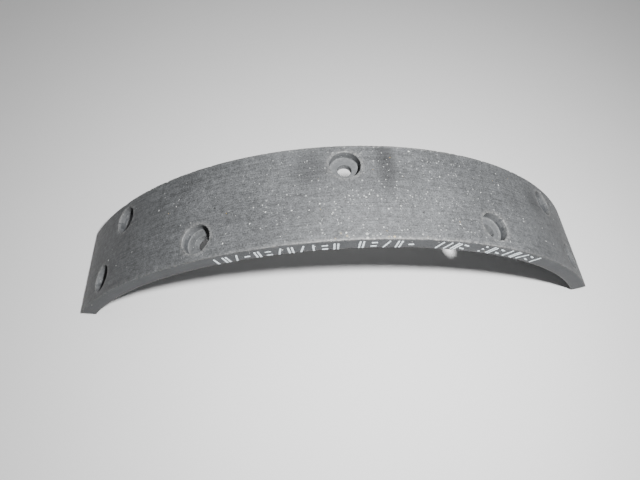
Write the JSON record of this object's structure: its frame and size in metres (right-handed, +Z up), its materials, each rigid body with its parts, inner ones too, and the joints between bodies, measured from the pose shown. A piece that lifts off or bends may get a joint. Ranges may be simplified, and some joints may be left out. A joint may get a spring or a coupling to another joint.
{
  "type": "riveted drum brake lining",
  "caption": "Curved friction lining for a drum-brake shoe, with counterbored rivet holes in two staggered rows and a printed edge.",
  "frame": {"origin": "on the surface the lining stands on with its arch up, below the middle of its outline", "axes": "+X from one end to the other, +Y along the drum's axis away from the printed side face, +Z up through the crown of the arch"},
  "size_m": [0.1452, 0.0251, 0.0396],
  "materials": {
    "friction_composite": "dry matte, ground outer face with fine lines round the drum's axis, pale mineral and brass specks",
    "marking_ink": "thin matte printing ink"
  },
  "bodies": {
    "root": {"friction_lining": "friction_composite", "edge_marking": "marking_ink"}
  },
  "joints": []
}
